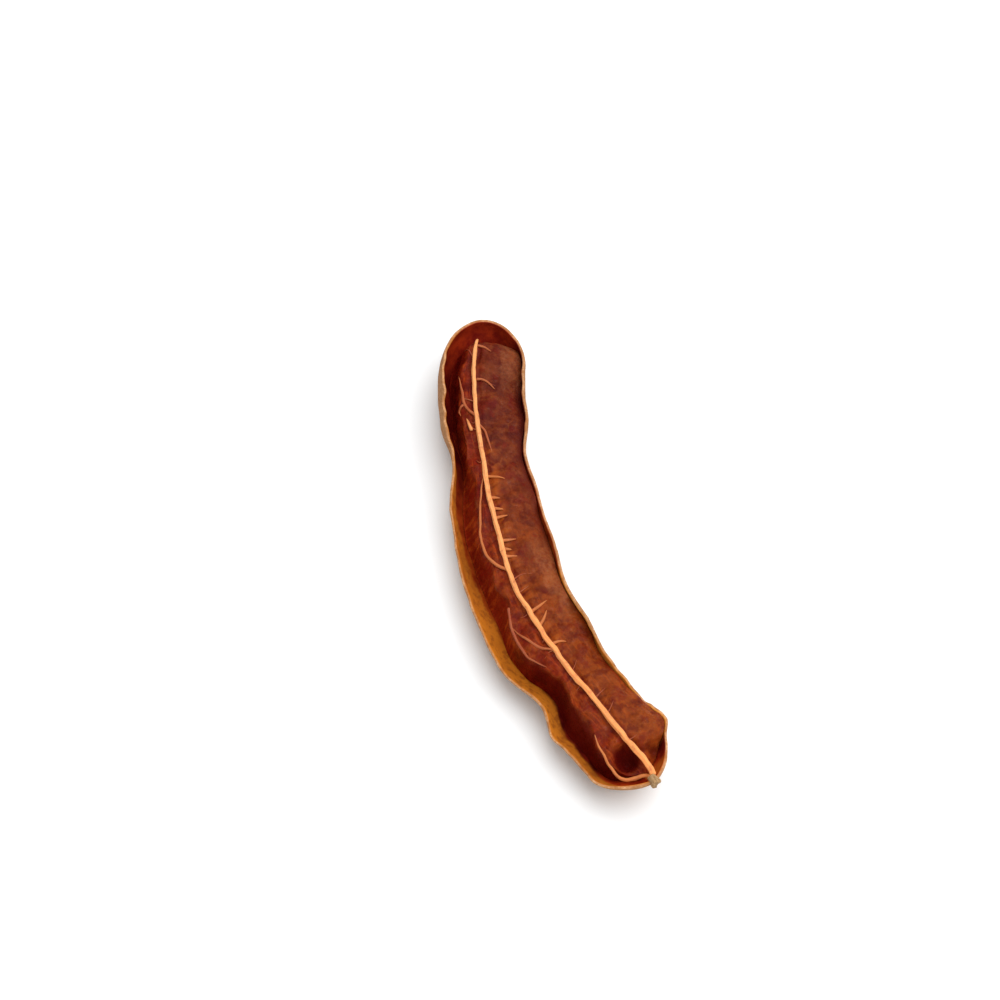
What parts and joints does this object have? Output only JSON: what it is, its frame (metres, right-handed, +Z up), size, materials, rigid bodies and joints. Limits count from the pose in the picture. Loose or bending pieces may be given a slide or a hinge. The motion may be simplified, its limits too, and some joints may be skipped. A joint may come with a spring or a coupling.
{
  "type": "tamarind pod",
  "caption": "Opened tamarind pod: curved brittle shell broken away lengthwise, sticky pulp lying in it, branching strings over the pulp and a stub of stalk.",
  "frame": {"origin": "middle of the bounding box, on the surface that the pod lies on", "axes": "+X from the stalk end to the tip, +Y to the convex side of the bend, +Z up, out of the open side"},
  "size_m": [0.1548, 0.0404, 0.0169],
  "materials": {
    "shell": "matt, scurfy, brittle",
    "pulp": "sticky, half glossy",
    "strings": "fibrous, satin",
    "stalk": "dry, broken fibres"
  },
  "bodies": {
    "root": {"shell": "shell", "pulp": "pulp", "strings": "strings", "stalk_stub": "stalk"}
  },
  "joints": []
}
